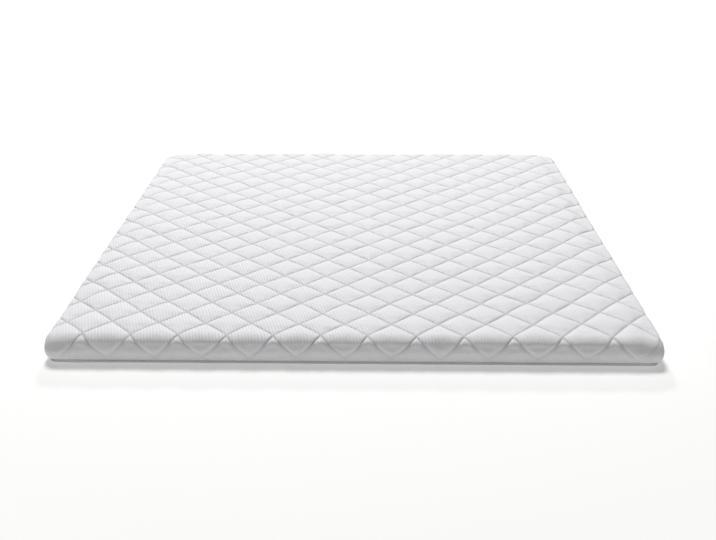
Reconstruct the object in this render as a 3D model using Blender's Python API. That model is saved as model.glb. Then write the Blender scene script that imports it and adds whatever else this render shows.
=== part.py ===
"""Quilted mattress topper, lying flat.

The quilted knit cover with its filling is one solid. Its sewn lines cross on the bias, so that each
field between them stands up as a small pillow, on the top, over the rounded rim and down the sides as
far as the lower seam. Below that seam lies the plain base panel, a thin dish of cloth with a flat
underside and a turned-up edge.

The pattern is laid out flat first, as the cloth is cut, and then folded over the rim. Units are metres,
+Z is up, +X runs to the right and +Y to the back. The origin is on the floor, under the middle of the
topper.
"""

import math

import bmesh
import bpy
from mathutils import Vector

# Overall size, face to face at the fullest place of each side.
WIDTH = 2.000
LENGTH = 2.000
RIM_HEIGHT = 0.097
CROWN = 0.011
CROWN_FLATNESS = 10

# Rounding of the rim in section and of the corners in plan.
RIM_RADIUS = 0.026
CORNER_RADIUS = 0.055
SIDE_BULGE = 0.002
SEAM_DRAW_IN = 0.004

# Quilting: sewn lines on both diagonals. Half a pitch is half of a field's width from point to point.
HALF_PITCH = 0.0762
CROSSING_FROM_LEFT = 0.1325
CROSSING_FROM_FRONT = 0.020
PILLOW = 0.0075
SIDE_PILLOW = 0.004
PILLOW_SHOULDER = 0.32
RING_INSET = 0.17

# The knit is not quite true: towards its left and right sides the sewn pattern spreads outwards and bows
# back, and it is pulled out further at the front right. Each is the drift that a point 1 m off centre has.
SPREAD = 0.011
FRONT_RIGHT_PULL = 0.024
BOW_LEFT = 0.045
BOW_RIGHT = 0.066
BOW_FADE = 0.20
DRIFT_REACH = 0.90
DRIFT_PASSES = 4

# Base panel, sewn on a little above the floor. Between its corners its flat underside is bowed in a little.
SEAM_HEIGHT = 0.012
PANEL_THICKNESS = 0.0025
TURN_UP = 0.016
FLOOR_BOW = 0.008
GAP = 0.0003

# Fineness of the solids. The side is creased once, at this share of its drop.
RIM_STEPS = 3
SIDE_CREASE = 0.45
CORNER_STEPS = 6
TURN_STEPS = 3
SIDE_PARTS = 8
SNAP = 0.0015

HALF_FACE_X = WIDTH / 2 - SIDE_PILLOW
HALF_FACE_Y = LENGTH / 2 - SIDE_PILLOW
CORE_X = HALF_FACE_X - CORNER_RADIUS
CORE_Y = HALF_FACE_Y - CORNER_RADIUS
FLAT_REACH = CORNER_RADIUS - RIM_RADIUS
RIM_ARC = RIM_RADIUS * math.pi / 2
SIDE_DROP = RIM_HEIGHT - RIM_RADIUS - SEAM_HEIGHT - GAP
CLOTH_REACH = FLAT_REACH + RIM_ARC + SIDE_DROP


def clear_scene():
    """Remove every object that the file holds."""
    for thing in list(bpy.data.objects):
        bpy.data.objects.remove(thing, do_unlink=True)


def cloth_material(name, colour, roughness):
    """A plain cloth finish with its colour and roughness."""
    material = bpy.data.materials.new(name)
    material.use_nodes = True
    shader = material.node_tree.nodes["Principled BSDF"]
    shader.inputs["Base Color"].default_value = (*colour, 1.0)
    shader.inputs["Roughness"].default_value = roughness
    shader.inputs["Metallic"].default_value = 0.0
    return material


def pattern_drift(x, y):
    """How far the sewn pattern has drifted to the right and to the back at a flat place."""
    reach = max(-DRIFT_REACH, min(DRIFT_REACH, x))
    from_front = max(0.0, y + LENGTH / 2)
    nearness = max(0.0, 1 - from_front / LENGTH)
    across = SPREAD * reach * abs(reach) + FRONT_RIGHT_PULL * (max(0.0, reach) * nearness) ** 2
    bow = BOW_RIGHT if x > 0 else BOW_LEFT
    back = bow * abs(reach) ** 3 * (1 - math.exp(-from_front / BOW_FADE))
    return across, back


def lattice_to_cloth(u, v):
    """Flat place of the point (u, v), where whole numbers of u and v are the two families of sewn lines."""
    true_x = -WIDTH / 2 + CROSSING_FROM_LEFT + (u + v) * HALF_PITCH
    true_y = -LENGTH / 2 + CROSSING_FROM_FRONT + (u - v) * HALF_PITCH
    x, y = true_x, true_y
    for _ in range(DRIFT_PASSES):
        across, back = pattern_drift(x, y)
        x, y = true_x + across, true_y + back
    return x, y


def cloth_to_lattice(x, y):
    """The inverse of lattice_to_cloth."""
    across, back = pattern_drift(x, y)
    i = (x - across + WIDTH / 2 - CROSSING_FROM_LEFT) / HALF_PITCH
    j = (y - back + LENGTH / 2 - CROSSING_FROM_FRONT) / HALF_PITCH
    return (i + j) / 2, (i - j) / 2


def pillow_share(x, y):
    """Height of a field at a flat place, from 0 on a sewn line to 1 in its middle."""
    u, v = cloth_to_lattice(x, y)
    return abs(math.sin(math.pi * u) * math.sin(math.pi * v)) ** PILLOW_SHOULDER


def pillow_height(past_flat):
    """Full height of the fields, falling over the rim and down the side to nothing at the seam."""
    if past_flat <= 0:
        return PILLOW
    if past_flat <= RIM_ARC:
        return PILLOW + (SIDE_PILLOW - PILLOW) * past_flat / RIM_ARC
    return SIDE_PILLOW * max(0.0, 1 - ((past_flat - RIM_ARC) / SIDE_DROP) ** 2)


def crown_height(x, y):
    """Rise of the top above its rim: level over most of the width, and falling away near the edges."""
    across = max(0.0, 1 - (x / (HALF_FACE_X - RIM_RADIUS)) ** CROWN_FLATNESS)
    along = max(0.0, 1 - (y / (HALF_FACE_Y - RIM_RADIUS)) ** CROWN_FLATNESS)
    return CROWN * across * along


def side_section(past_flat):
    """Reach and drop from the rim's start, and the outward direction, at a length of cloth past it."""
    if past_flat <= 0:
        return past_flat, 0.0, (0.0, 1.0)
    if past_flat <= RIM_ARC:
        turn = past_flat / RIM_RADIUS
        out, up = math.sin(turn), math.cos(turn)
        return RIM_RADIUS * out, RIM_RADIUS * (1 - up), (out, up)
    down = past_flat - RIM_ARC
    share = down / SIDE_DROP
    bulge = SIDE_BULGE * math.sin(math.pi * share) - SEAM_DRAW_IN * share ** 2
    return RIM_RADIUS + bulge, RIM_RADIUS + down, (1.0, 0.0)


def fold_over_rim(x, y):
    """Place in space of a flat point of the cloth, with its field's height."""
    core_x = max(-CORE_X, min(CORE_X, x))
    core_y = max(-CORE_Y, min(CORE_Y, y))
    away = Vector((x - core_x, y - core_y))
    distance = away.length
    outward = away / distance if distance > 0 else Vector((0.0, 0.0))
    past_flat = distance - FLAT_REACH
    reach, drop, (out, up) = side_section(past_flat)
    raised = pillow_height(past_flat) * pillow_share(x, y)
    radial = FLAT_REACH + reach + raised * out
    height = RIM_HEIGHT + crown_height(x, y) - drop + raised * up
    return Vector((core_x + outward.x * radial, core_y + outward.y * radial, height))


def add_field(mesh, corner_verts, a, b):
    """One field between four sewn lines: four sloping borders round four facets that rise to its middle."""
    corners = [(a, b), (a + 1, b), (a + 1, b + 1), (a, b + 1)]
    middle_u, middle_v = a + 0.5, b + 0.5
    outer = []
    ring = []
    for u, v in corners:
        if (u, v) not in corner_verts:
            corner_verts[(u, v)] = mesh.verts.new((*lattice_to_cloth(u, v), 0.0))
        outer.append(corner_verts[(u, v)])
        ring_u = u + (middle_u - u) * 2 * RING_INSET
        ring_v = v + (middle_v - v) * 2 * RING_INSET
        ring.append(mesh.verts.new((*lattice_to_cloth(ring_u, ring_v), 0.0)))
    middle = mesh.verts.new((*lattice_to_cloth(middle_u, middle_v), 0.0))
    for k in range(4):
        following = (k + 1) % 4
        mesh.faces.new((outer[k], ring[k], ring[following], outer[following]))
        mesh.faces.new((ring[k], middle, ring[following]))


def flat_cloth():
    """The quilted cloth laid flat, larger than its cut outline."""
    mesh = bmesh.new()
    corner_verts = {}
    half_x = CORE_X + CLOTH_REACH + HALF_PITCH
    half_y = CORE_Y + CLOTH_REACH + HALF_PITCH
    most = math.ceil(2 * max(half_x, half_y) / HALF_PITCH)
    for a in range(-most, most):
        for b in range(-most, most):
            x, y = lattice_to_cloth(a + 0.5, b + 0.5)
            if abs(x) < half_x and abs(y) < half_y:
                add_field(mesh, corner_verts, a, b)
    return mesh


def cut(mesh, point, normal, trim=False):
    """Cut the flat cloth along a line, and trim it beyond the line where asked."""
    bmesh.ops.bisect_plane(
        mesh,
        geom=mesh.verts[:] + mesh.edges[:] + mesh.faces[:],
        dist=SNAP,
        plane_co=point,
        plane_no=normal,
        clear_outer=trim,
    )


def trim_to_outline(mesh):
    """Trim the flat cloth to a rounded rectangle, by lines that touch its corner arcs."""
    for step in range(CORNER_STEPS + 1):
        angle = math.radians(90) * step / CORNER_STEPS
        for sign_x in (-1, 1):
            for sign_y in (-1, 1):
                normal = Vector((sign_x * math.cos(angle), sign_y * math.sin(angle), 0.0))
                centre = Vector((sign_x * CORE_X, sign_y * CORE_Y, 0.0))
                cut(mesh, centre + normal * CLOTH_REACH, normal, trim=True)


def crease_for_folding(mesh):
    """Cut lines along the four sides where the cloth bends over the rim and bulges on the side."""
    creases = [FLAT_REACH + RIM_ARC * step / RIM_STEPS for step in range(RIM_STEPS + 1)]
    creases.append(FLAT_REACH + RIM_ARC + SIDE_DROP * SIDE_CREASE)
    for crease in creases:
        for sign in (-1, 1):
            cut(mesh, Vector((sign * (CORE_X + crease), 0.0, 0.0)), Vector((sign, 0.0, 0.0)))
            cut(mesh, Vector((0.0, sign * (CORE_Y + crease), 0.0)), Vector((0.0, sign, 0.0)))


def settle_edge(mesh):
    """Draw the cut edge onto the seam's outline, and keep every other point inside it."""
    for vert in mesh.verts:
        core_x = max(-CORE_X, min(CORE_X, vert.co.x))
        core_y = max(-CORE_Y, min(CORE_Y, vert.co.y))
        core = Vector((core_x, core_y, 0.0))
        away = vert.co - core
        if vert.is_boundary:
            vert.co = core + away.normalized() * CLOTH_REACH
        elif away.length > CLOTH_REACH - SNAP:
            vert.co = core + away.normalized() * (CLOTH_REACH - SNAP)


def outline(inset, bow, height):
    """Points of a rounded rectangle this far inside the seam's line, with each side bowed in as asked."""
    radius = CORNER_RADIUS - SEAM_DRAW_IN - inset
    corners = []
    for quarter, (sign_x, sign_y) in enumerate(((1, 1), (-1, 1), (-1, -1), (1, -1))):
        centre = Vector((sign_x * CORE_X, sign_y * CORE_Y, height))
        corner = []
        for step in range(CORNER_STEPS + 1):
            angle = math.radians(90) * (quarter + step / CORNER_STEPS)
            corner.append(centre + radius * Vector((math.cos(angle), math.sin(angle), 0.0)))
        corners.append(corner)
    points = []
    for corner, following in zip(corners, corners[1:] + corners[:1]):
        points += corner
        side = following[0] - corner[-1]
        inward = Vector((-side.y, side.x, 0.0)).normalized()
        for part in range(1, SIDE_PARTS):
            share = part / SIDE_PARTS
            points.append(corner[-1].lerp(following[0], share) + inward * bow * 4 * share * (1 - share))
    return points


def add_ring(mesh, points):
    """A closed row of new vertices at the points."""
    return [mesh.verts.new(point) for point in points]


def join_rings(mesh, first, second):
    """Faces between two rows of the same length."""
    for k in range(len(first)):
        following = (k + 1) % len(first)
        mesh.faces.new((first[k], first[following], second[following], second[k]))


def around(vert):
    """Direction of a point from the middle of the topper, as an angle."""
    return math.atan2(vert.co.y, vert.co.x)


def join_uneven_rings(mesh, outer, inner):
    """Faces between two closed rows of different lengths, taken up in turn as their points come round."""
    outer = sorted(outer, key=around)
    inner = sorted(inner, key=around)
    a = 0
    b = 0
    while a < len(outer) or b < len(inner):
        outer_turn = around(outer[a]) if a < len(outer) else math.inf
        inner_turn = around(inner[b]) if b < len(inner) else math.inf
        if outer_turn < inner_turn:
            mesh.faces.new((outer[a - 1], inner[b - 1], outer[a]))
            a += 1
        else:
            mesh.faces.new((outer[a - 1], inner[b - 1], inner[b]))
            b += 1


def close_underside(mesh):
    """Slope from the seam down into the base panel, and the flat underside of the filling."""
    seam = [vert for vert in mesh.verts if vert.is_boundary]
    ring = add_ring(mesh, outline(TURN_UP + GAP, FLOOR_BOW, PANEL_THICKNESS + GAP))
    join_uneven_rings(mesh, seam, ring)
    mesh.faces.new(ring)


def finish_object(mesh, name, material):
    """Turn a mesh into an object of triangles with its faces outwards."""
    bmesh.ops.triangulate(mesh, faces=mesh.faces[:])
    bmesh.ops.recalc_face_normals(mesh, faces=mesh.faces[:])
    data = bpy.data.meshes.new(name)
    mesh.to_mesh(data)
    mesh.free()
    data.materials.append(material)
    thing = bpy.data.objects.new(name, data)
    bpy.context.scene.collection.objects.link(thing)
    return thing


def make_quilted_body():
    """The quilted cover over its filling, closed underneath."""
    mesh = flat_cloth()
    trim_to_outline(mesh)
    crease_for_folding(mesh)
    settle_edge(mesh)
    bmesh.ops.triangulate(mesh, faces=mesh.faces[:])
    for vert in mesh.verts:
        vert.co = fold_over_rim(vert.co.x, vert.co.y)
    close_underside(mesh)
    material = cloth_material("quilted_knit", (0.86, 0.86, 0.87), 0.9)
    body = finish_object(mesh, "quilted_body", material)
    body.data.shade_smooth()
    body.data.set_sharp_from_angle(angle=math.radians(50))
    return body


def make_base_panel():
    """The plain panel under the filling: a flat sheet, turned up at its edge to meet the quilted cloth."""
    mesh = bmesh.new()
    rings = []
    for step in range(TURN_STEPS + 1):
        angle = math.radians(90) * step / TURN_STEPS
        share = 1 - math.sin(angle)
        height = SEAM_HEIGHT * (1 - math.cos(angle))
        rings.append(add_ring(mesh, outline(TURN_UP * share, FLOOR_BOW * share, height)))
    rings.append(add_ring(mesh, outline(TURN_UP, FLOOR_BOW, PANEL_THICKNESS)))
    for first, second in zip(rings, rings[1:]):
        join_rings(mesh, first, second)
    mesh.faces.new(rings[0])
    mesh.faces.new(rings[-1])
    material = cloth_material("plain_base_cloth", (0.82, 0.82, 0.81), 0.92)
    return finish_object(mesh, "base_panel", material)


def centre_over_origin(things):
    """Slide the whole topper so that the middle of its outline is over the origin."""
    points = [vert.co for thing in things for vert in thing.data.vertices]
    middle_x = (min(p.x for p in points) + max(p.x for p in points)) / 2
    middle_y = (min(p.y for p in points) + max(p.y for p in points)) / 2
    for thing in things:
        for vert in thing.data.vertices:
            vert.co -= Vector((middle_x, middle_y, 0.0))


clear_scene()
centre_over_origin([make_quilted_body(), make_base_panel()])
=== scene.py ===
"""Looks of a quilted mattress topper: a padded knit cover sewn on the bias over a plain base panel.

The quilted cover is worked out flat, as the cloth is cut, then folded over the rim and filled. Its
fields are blown up by Blender's cloth simulation between the sewn lines. Units are metres, +Z is up,
+X runs to the right and +Y to the back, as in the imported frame.
"""

import logging
import math
from dataclasses import dataclass
from enum import Enum

import bpy
import numpy as np
from mathutils import Matrix, Vector


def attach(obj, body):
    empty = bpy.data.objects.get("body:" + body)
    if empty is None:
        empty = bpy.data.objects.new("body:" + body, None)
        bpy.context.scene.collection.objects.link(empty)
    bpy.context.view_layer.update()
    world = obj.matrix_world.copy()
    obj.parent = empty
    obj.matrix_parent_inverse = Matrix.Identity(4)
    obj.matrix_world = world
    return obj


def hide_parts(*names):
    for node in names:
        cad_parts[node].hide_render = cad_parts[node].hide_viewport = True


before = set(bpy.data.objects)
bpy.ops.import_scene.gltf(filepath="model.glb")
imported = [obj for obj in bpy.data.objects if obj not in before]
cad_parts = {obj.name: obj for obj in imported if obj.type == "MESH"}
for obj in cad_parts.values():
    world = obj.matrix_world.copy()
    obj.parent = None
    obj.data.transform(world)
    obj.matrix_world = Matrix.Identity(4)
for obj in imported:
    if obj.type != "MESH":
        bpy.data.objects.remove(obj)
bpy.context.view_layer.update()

Array = np.ndarray
Socket = bpy.types.NodeSocket
Inputs = dict[str | int, object]
log = logging.getLogger("topper")

UV_NAME = "cloth"
# Names the held vertex group of the simulation, and the attribute that carries the painted shade along
# the sewn lines.
SEWN_NAME = "sewn"


class Slot(Enum):
    """Names of the record's material slots, which the pieces here don't use: each builds its own finish.
    """

    KNIT = "quilted_knit"
    BASE = "plain_base_cloth"


def swell(x: Array, y: Array, wavelength: float, seed: int, waves: int = 9) -> Array:
    """Uneven swell of unit strength: the sum of plane waves in seeded directions.

    Args:
        x: Places across, in metres.
        y: Places along, in metres.
        wavelength: Mean length of the waves.
        seed: Seed of the directions, phases and lengths.
        waves: Number of plane waves.

    Returns:
        The height of the swell at each place, with a spread of about one.
    """
    rng = np.random.default_rng(seed)
    angles = rng.uniform(0, 2 * math.pi, waves)
    phases = rng.uniform(0, 2 * math.pi, waves)
    stretches = rng.uniform(0.75, 1.35, waves)
    total = np.zeros(np.broadcast(x, y).shape)
    for angle, phase, stretch in zip(angles, phases, stretches):
        turns = 2 * math.pi / (wavelength * stretch)
        total += np.sin(turns * (x * math.cos(angle) + y * math.sin(angle)) + phase)
    return total * math.sqrt(2 / waves)


def bell(distance: Array, reach: float) -> Array:
    """A bell of a distance: one at its middle, and about a third at its reach."""
    return np.exp(-((distance / reach) ** 2))


def ramp(distance: Array, length: float) -> Array:
    """A straight ramp of a distance, from nothing at zero to one at its length."""
    return np.clip(distance / length, 0.0, 1.0)


def grid_quads(number: Array, closed: bool = False) -> Array:
    """Quads between the neighbouring rows and columns of a grid of vertices.

    Args:
        number: Number of the vertex at each place of the grid.
        closed: Whether the last column is joined to the first.

    Returns:
        The vertex numbers of the quads, N x 4.
    """
    if closed:
        number = np.concatenate([number, number[:, :1]], axis=1)
    quads = np.stack([number[:-1, :-1], number[:-1, 1:], number[1:, 1:], number[1:, :-1]], -1)
    return quads.reshape(-1, 4)


def make_piece(name: str, points: Array, faces: list[Array], smooth: bool = True) -> bpy.types.Object:
    """Put points and faces into a new mesh object at the origin.

    Args:
        name: Name of the piece.
        points: Places of the vertices, N x 3.
        faces: Arrays of vertex numbers, one array for each number of sides.
        smooth: Whether the faces are shaded smooth.

    Returns:
        The new object, linked to the scene.
    """
    corners = np.concatenate([rows.ravel() for rows in faces])
    sides = np.concatenate([np.full(len(rows), rows.shape[1]) for rows in faces])
    starts = np.concatenate([[0], np.cumsum(sides)[:-1]])
    mesh = bpy.data.meshes.new(name)
    mesh.vertices.add(len(points))
    mesh.vertices.foreach_set("co", np.ascontiguousarray(points, np.float32).ravel())
    mesh.loops.add(len(corners))
    mesh.loops.foreach_set("vertex_index", corners.astype(np.int32))
    mesh.polygons.add(len(sides))
    mesh.polygons.foreach_set("loop_start", starts.astype(np.int32))
    mesh.update(calc_edges=True)
    mesh.validate()
    if smooth:
        mesh.shade_smooth()
    piece = bpy.data.objects.new(name, mesh)
    bpy.context.scene.collection.objects.link(piece)
    return piece


def add_uv(piece: bpy.types.Object, places: Array) -> None:
    """Give a piece its flat cloth places, in metres, as its UV map.

    Args:
        piece: The mesh object.
        places: Flat place of each vertex, N x 2.
    """
    mesh = piece.data
    corners = np.zeros(len(mesh.loops), np.int32)
    mesh.loops.foreach_get("vertex_index", corners)
    layer = mesh.uv_layers.new(name=UV_NAME)
    layer.data.foreach_set("uv", places[corners].astype(np.float32).ravel())


def add_share(piece: bpy.types.Object, name: str, values: Array) -> None:
    """Give a piece a number for each vertex, which its material reads.

    Args:
        piece: The mesh object.
        name: Name of the attribute.
        values: One number for each vertex.
    """
    attribute = piece.data.attributes.new(name, "FLOAT", "POINT")
    attribute.data.foreach_set("value", values.astype(np.float32))


@dataclass(frozen=True)
class SewnPattern:
    """Lines sewn on both diagonals of the cloth, at whole numbers of u and of v."""

    width: float = 2.000
    length: float = 2.000
    half_pitch: float = 0.0762
    crossing_from_left: float = 0.1325
    crossing_from_front: float = 0.018
    spread: float = 0.011
    front_right_pull: float = 0.024
    bow_left: float = 0.045
    bow_right: float = 0.066
    bow_fade: float = 0.20
    gather: float = 0.013
    gather_reach: float = 0.60
    drift_reach: float = 0.90
    drift_passes: int = 4
    wander: float = 0.0011
    wander_length: float = 0.19
    wander_seeds: tuple[int, int] = (11, 12)

    @property
    def field_side(self) -> float:
        """Side of one square field, along a sewn line."""
        return self.half_pitch * math.sqrt(2)

    def drift(self, x: Array, y: Array) -> tuple[Array, Array]:
        """How far the pattern has drifted at a flat place.

        It spreads with the square of the place across, more so at the front right, and bows back
        with its cube, fading to nothing at the front edge. Away from that edge it is gathered
        forwards a little, by one minus an exponential that falls with a power of the distance.

        Args:
            x: Places across.
            y: Places along.

        Returns:
            The drift to the right and the drift to the back.
        """
        reach = np.clip(x, -self.drift_reach, self.drift_reach)
        from_front = np.maximum(y + self.length / 2, 0.0)
        nearness = np.maximum(1 - from_front / self.length, 0.0)
        pull = self.front_right_pull * (np.maximum(reach, 0.0) * nearness) ** 2
        across = self.spread * reach * np.abs(reach) + pull
        bow = np.where(x > 0, self.bow_right, self.bow_left)
        back = bow * np.abs(reach) ** 3 * (1 - np.exp(-from_front / self.bow_fade))
        gathered = self.gather * (1 - np.exp(-((from_front / self.gather_reach) ** 1.5)))
        return across, back - gathered

    def to_cloth(self, u: Array, v: Array) -> tuple[Array, Array]:
        """Flat place of lattice points, drifted and with the needle's small wander.

        Args:
            u: First lattice numbers.
            v: Second lattice numbers.

        Returns:
            Places across and along.
        """
        true_x = -self.width / 2 + self.crossing_from_left + (u + v) * self.half_pitch
        true_y = -self.length / 2 + self.crossing_from_front + (u - v) * self.half_pitch
        x, y = true_x, true_y
        for _ in range(self.drift_passes):
            across, back = self.drift(x, y)
            x, y = true_x + across, true_y + back
        first, second = self.wander_seeds
        return (
            x + self.wander * swell(x, y, self.wander_length, first),
            y + self.wander * swell(x, y, self.wander_length, second),
        )

    def from_line(self, u: Array, v: Array) -> Array:
        """Distance of lattice points from the nearest sewn line."""
        return np.minimum(np.abs(u - np.round(u)), np.abs(v - np.round(v))) * self.field_side

    def field_span(self, reach: float) -> tuple[int, int, int, int]:
        """Lowest and highest whole u and v that cover a square cloth.

        Args:
            reach: Half of the cloth's side.

        Returns:
            Lowest u, highest u, lowest v and highest v.
        """
        side = 2 * reach / self.half_pitch
        left = (-reach + self.width / 2 - self.crossing_from_left) / self.half_pitch
        front = (-reach + self.length / 2 - self.crossing_from_front) / self.half_pitch
        low_u = math.floor((left + front) / 2) - 1
        high_u = math.ceil((left + front) / 2 + side) + 1
        low_v = math.floor((left - front - side) / 2) - 1
        high_v = math.ceil((left - front + side) / 2) + 1
        return low_u, high_u, low_v, high_v


@dataclass(frozen=True)
class RimSection:
    """Level top, rounded rim and side of the filled cover, down to the seam of the base panel."""

    width: float = 2.000
    length: float = 2.000
    rim_height: float = 0.1015
    crown: float = 0.0028
    crown_flatness: int = 8
    back_rise: float = 0.006
    side_droop: float = 0.009
    side_droop_start: float = 0.030
    front_droop_share: float = 0.6
    side_draw: float = 0.5
    front_right_droop: float = 0.002
    overhang: float = 0.013
    overhang_start: float = 0.023
    droop_spread: float = 0.0010
    droop_reach: float = 0.040
    droop_length: float = 0.55
    droop_seed: int = 23
    rim_radius: float = 0.019
    corner_radius: float = 0.055
    side_pillow: float = 0.004
    side_bulge: float = 0.003
    seam_draw_in: float = 0.002
    seam_roll: float = 0.0007
    seam_roll_height: float = 0.0022
    seam_height: float = 0.012
    gap: float = 0.0003
    soft_front_left: float = -0.026
    soft_front_right: float = -0.026
    soft_back_left: float = -0.016
    soft_back_right: float = -0.018
    corner_bulge: float = 0.009
    corner_bulge_reach: float = 0.070
    corner_bulge_sink: float = 1.7

    @property
    def core(self) -> tuple[float, float]:
        """Half sides of the middle rectangle that the corner arcs turn about."""
        inward = self.side_pillow + self.corner_radius
        return self.width / 2 - inward, self.length / 2 - inward

    @property
    def flat_reach(self) -> float:
        """Flat cloth between the core and the start of the rim."""
        return self.corner_radius - self.rim_radius

    @property
    def rim_arc(self) -> float:
        """Length of cloth over the rim."""
        return self.rim_radius * math.pi / 2

    @property
    def side_drop(self) -> float:
        """Length of cloth down the side, from the rim to the seam."""
        return self.rim_height - self.rim_radius - self.seam_height - self.gap

    @property
    def cloth_reach(self) -> float:
        """Length of cloth from the core to the seam."""
        return self.flat_reach + self.rim_arc + self.side_drop

    def softness(self, x: Array, y: Array) -> Array:
        """How much larger than the common radius the nearest corner is, in metres."""
        front = np.where(x > 0, self.soft_front_right, self.soft_front_left)
        return np.where(y > 0, np.where(x > 0, self.soft_back_right, self.soft_back_left), front)

    def leave_core(self, x: Array, y: Array) -> tuple[Array, Array, Array, Array, Array]:
        """Nearest core point of a flat place, the way outwards, and the cloth between them.

        Args:
            x: Places across.
            y: Places along.

        Returns:
            Core point across and along, outward direction across and along, and the distance past
            the common core.
        """
        soft = self.softness(x, y)
        core_x, core_y = self.core
        near_x = np.clip(x, -(core_x - soft), core_x - soft)
        near_y = np.clip(y, -(core_y - soft), core_y - soft)
        away_x, away_y = x - near_x, y - near_y
        distance = np.hypot(away_x, away_y)
        safe = np.maximum(distance, 1e-9)
        return near_x, near_y, away_x / safe, away_y / safe, distance - soft

    def profile(self, past: Array) -> tuple[Array, Array, Array, Array]:
        """Section of the edge: level, a quarter circle, then a side that bulges and draws in.

        Args:
            past: Length of cloth past the start of the rim.

        Returns:
            Reach, drop, and the outward and upward share of the cloth's normal.
        """
        turn = np.clip(past / self.rim_radius, 0.0, math.pi / 2)
        down = np.maximum(past - self.rim_arc, 0.0)
        share = down / self.side_drop
        bulge = self.side_bulge * np.sin(math.pi * share) - self.seam_draw_in * share**2
        roll = self.seam_roll * np.exp(-(self.side_drop - down) / self.seam_roll_height)
        rounded = self.rim_radius * np.sin(turn)
        reach = np.where(past <= 0, past, rounded + np.where(down > 0, bulge - roll, 0.0))
        drop = self.rim_radius * (1 - np.cos(turn)) + down
        return reach, drop, np.sin(turn), np.cos(turn)

    def droop(self, x: Array, y: Array) -> Array:
        """How far the rim has sunk where handling has rounded it.

        The left and right rims sink in a bell of the distance inside them, more towards the back,
        the front one with the square of the place to the right, and all of them unevenly. It fades
        out with the square of the way down the side.

        Args:
            x: Places across.
            y: Places along.

        Returns:
            The sinking for each place.
        """
        past = self.past_rim(x, y)
        down = ramp(past - self.rim_arc / 2, self.rim_arc / 2 + self.side_drop)
        inside_x = np.maximum(self.width / 2 - self.side_droop_start - np.abs(x), 0.0)
        inside_y = np.maximum(self.length / 2 - self.side_droop_start + y, 0.0)
        backness = np.clip(0.5 + y / self.length, 0.0, 1.0)
        more = self.front_droop_share + (1 - self.front_droop_share) * backness
        sides = self.side_droop * more * bell(inside_x, self.droop_reach)
        front = self.front_right_droop * ramp(2 * x, self.width) ** 2 * bell(inside_y, self.droop_reach)
        nearest = np.minimum(self.width / 2 - np.abs(x), self.length / 2 - np.abs(y))
        at_rim = bell(np.maximum(nearest - self.side_droop_start, 0.0), self.droop_reach)
        handled = np.maximum(swell(x, y, self.droop_length, self.droop_seed), 0.0)
        uneven = self.droop_spread * handled * at_rim
        return (sides + front + uneven) * (1 - down) ** 2

    def crown_height(self, x: Array, y: Array) -> Array:
        """Rise of the top: one minus a high power of the place, across and along.

        The back right is a little fuller, by the sixth power of the place along.

        Args:
            x: Places across.
            y: Places along.

        Returns:
            The height that it adds to the level section.
        """
        across = np.abs(x) / (self.width / 2 - self.side_pillow)
        along = np.abs(y) / (self.length / 2 - self.side_pillow)
        fall_across = np.maximum(1 - across**self.crown_flatness, 0.0)
        fall_along = np.maximum(1 - along**self.crown_flatness, 0.0)
        down = ramp(self.past_rim(x, y) - self.rim_arc / 2, self.side_drop)
        rightness = np.clip(0.5 + x / self.width, 0.0, 1.0)
        backness = np.clip(0.5 + y / self.length, 0.0, 1.0)
        back = self.back_rise * rightness * backness**6 * (1 - down)
        return self.crown * fall_across * fall_along + back

    def lean(self, past: Array, out_y: Array) -> Array:
        """How far the front leans out over its seam.

        It comes in by a smooth step over the rim, goes with the square of the way down the side, and
        dies away round the corners with the third power of the direction's forward share.

        Args:
            past: Length of cloth past the start of the rim.
            out_y: Outward direction's share along.

        Returns:
            The reach that it adds.
        """
        front = np.maximum(-out_y, 0.0) ** 3
        step = ramp(past, self.overhang_start)
        down = ramp(past - self.rim_arc, self.side_drop)
        return self.overhang * front * step**2 * (3 - 2 * step) * (1 - down**2)

    def from_corner(self, x: Array, y: Array) -> Array:
        """How far along the edges a flat place is from the nearest corner's arc."""
        near_x, near_y, _, _, _ = self.leave_core(x, y)
        return self.core[0] + self.core[1] - 2 * self.softness(x, y) - np.abs(near_x) - np.abs(near_y)

    def corner_fullness(self, from_corner: Array, drop: Array) -> Array:
        """Extra filling pushed low into the corners: a flat-topped hump down the side, a bell along it.

        Args:
            from_corner: Distance along the edges from the corner's arc.
            drop: Drop of the section.

        Returns:
            The reach that it adds.
        """
        down = ramp(drop, self.rim_radius + self.side_drop)
        hump = 1 - np.abs(2 * down**self.corner_bulge_sink - 1) ** 3
        return self.corner_bulge * hump * bell(from_corner, self.corner_bulge_reach)

    def past_rim(self, x: Array, y: Array) -> Array:
        """Length of cloth past the start of the rim at a flat place."""
        return self.leave_core(x, y)[4] - self.flat_reach

    def on_side(self, past: Array) -> Array:
        """How far cloth has left the top: none to halfway round the rim, all of it below."""
        return ramp(past - self.rim_arc / 2, self.rim_arc)

    def normal(self, x: Array, y: Array) -> Array:
        """Outward normal of the folded cloth at a flat place.

        Args:
            x: Places across.
            y: Places along.

        Returns:
            The normals, with a last axis of three.
        """
        _, _, out_x, out_y, distance = self.leave_core(x, y)
        _, _, out, up = self.profile(distance - self.flat_reach)
        return np.stack([out_x * out, out_y * out, up], -1)

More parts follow.
